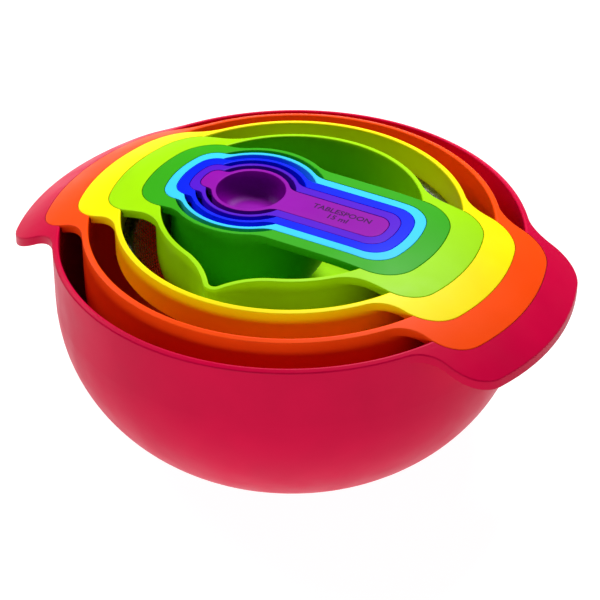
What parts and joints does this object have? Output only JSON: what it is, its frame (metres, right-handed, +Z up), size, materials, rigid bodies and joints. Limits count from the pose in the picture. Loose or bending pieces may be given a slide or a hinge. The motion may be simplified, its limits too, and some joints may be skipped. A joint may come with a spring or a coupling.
{
  "type": "nesting mixing bowl and measuring cup set",
  "caption": "Nesting kitchen set: mixing bowls, a colander, a sieve, measuring cups and a spoon hang inside one another by broad end handles whose tops form one smooth crown.",
  "frame": {"origin": "centre of the underside of the large bowl's base pad, on the table", "axes": "+X towards the long handles, along the line of the handles; +Y away from the small bowl's spout; +Z up"},
  "size_m": [0.322, 0.266, 0.144],
  "materials": {
    "crimson": "satin moulded plastic",
    "crimson_pad": "matt soft-touch rubber",
    "orange": "satin moulded plastic",
    "yellow": "satin moulded plastic",
    "steel_mesh": "bright woven wire",
    "lime": "satin moulded plastic",
    "lime_pad": "matt soft-touch rubber",
    "green": "satin moulded plastic",
    "cyan": "satin moulded plastic",
    "blue": "satin moulded plastic",
    "indigo": "satin moulded plastic",
    "purple": "satin moulded plastic"
  },
  "bodies": {
    "large_bowl": {"large_bowl": "crimson", "large_bowl_base": "crimson_pad"},
    "colander": {"colander": "orange"},
    "sieve": {"sieve_frame": "yellow", "sieve_mesh": "steel_mesh"},
    "small_bowl": {"small_bowl": "lime", "small_bowl_base": "lime_pad"},
    "cup_250ml": {"cup_250ml": "green"},
    "cup_125ml": {"cup_125ml": "cyan"},
    "cup_85ml": {"cup_85ml": "blue"},
    "cup_60ml": {"cup_60ml": "indigo"},
    "spoon_15ml": {"spoon_15ml": "purple"}
  },
  "joints": [
    {"name": "colander_lift", "type": "slide", "parent": "large_bowl", "child": "colander", "axis": [0, 0, 1], "range_m": [0, 0.112]},
    {"name": "sieve_lift", "type": "slide", "parent": "colander", "child": "sieve", "axis": [0, 0, 1], "range_m": [0, 0.084]},
    {"name": "small_bowl_lift", "type": "slide", "parent": "sieve", "child": "small_bowl", "axis": [0, 0, 1], "range_m": [0, 0.062]},
    {"name": "cup_250ml_lift", "type": "slide", "parent": "small_bowl", "child": "cup_250ml", "axis": [0, 0, 1], "range_m": [0, 0.056]},
    {"name": "cup_125ml_lift", "type": "slide", "parent": "cup_250ml", "child": "cup_125ml", "axis": [0, 0, 1], "range_m": [0, 0.044]},
    {"name": "cup_85ml_lift", "type": "slide", "parent": "cup_125ml", "child": "cup_85ml", "axis": [0, 0, 1], "range_m": [0, 0.04]},
    {"name": "cup_60ml_lift", "type": "slide", "parent": "cup_85ml", "child": "cup_60ml", "axis": [0, 0, 1], "range_m": [0, 0.037]},
    {"name": "spoon_15ml_lift", "type": "slide", "parent": "cup_60ml", "child": "spoon_15ml", "axis": [0, 0, 1], "range_m": [0, 0.02]}
  ]
}
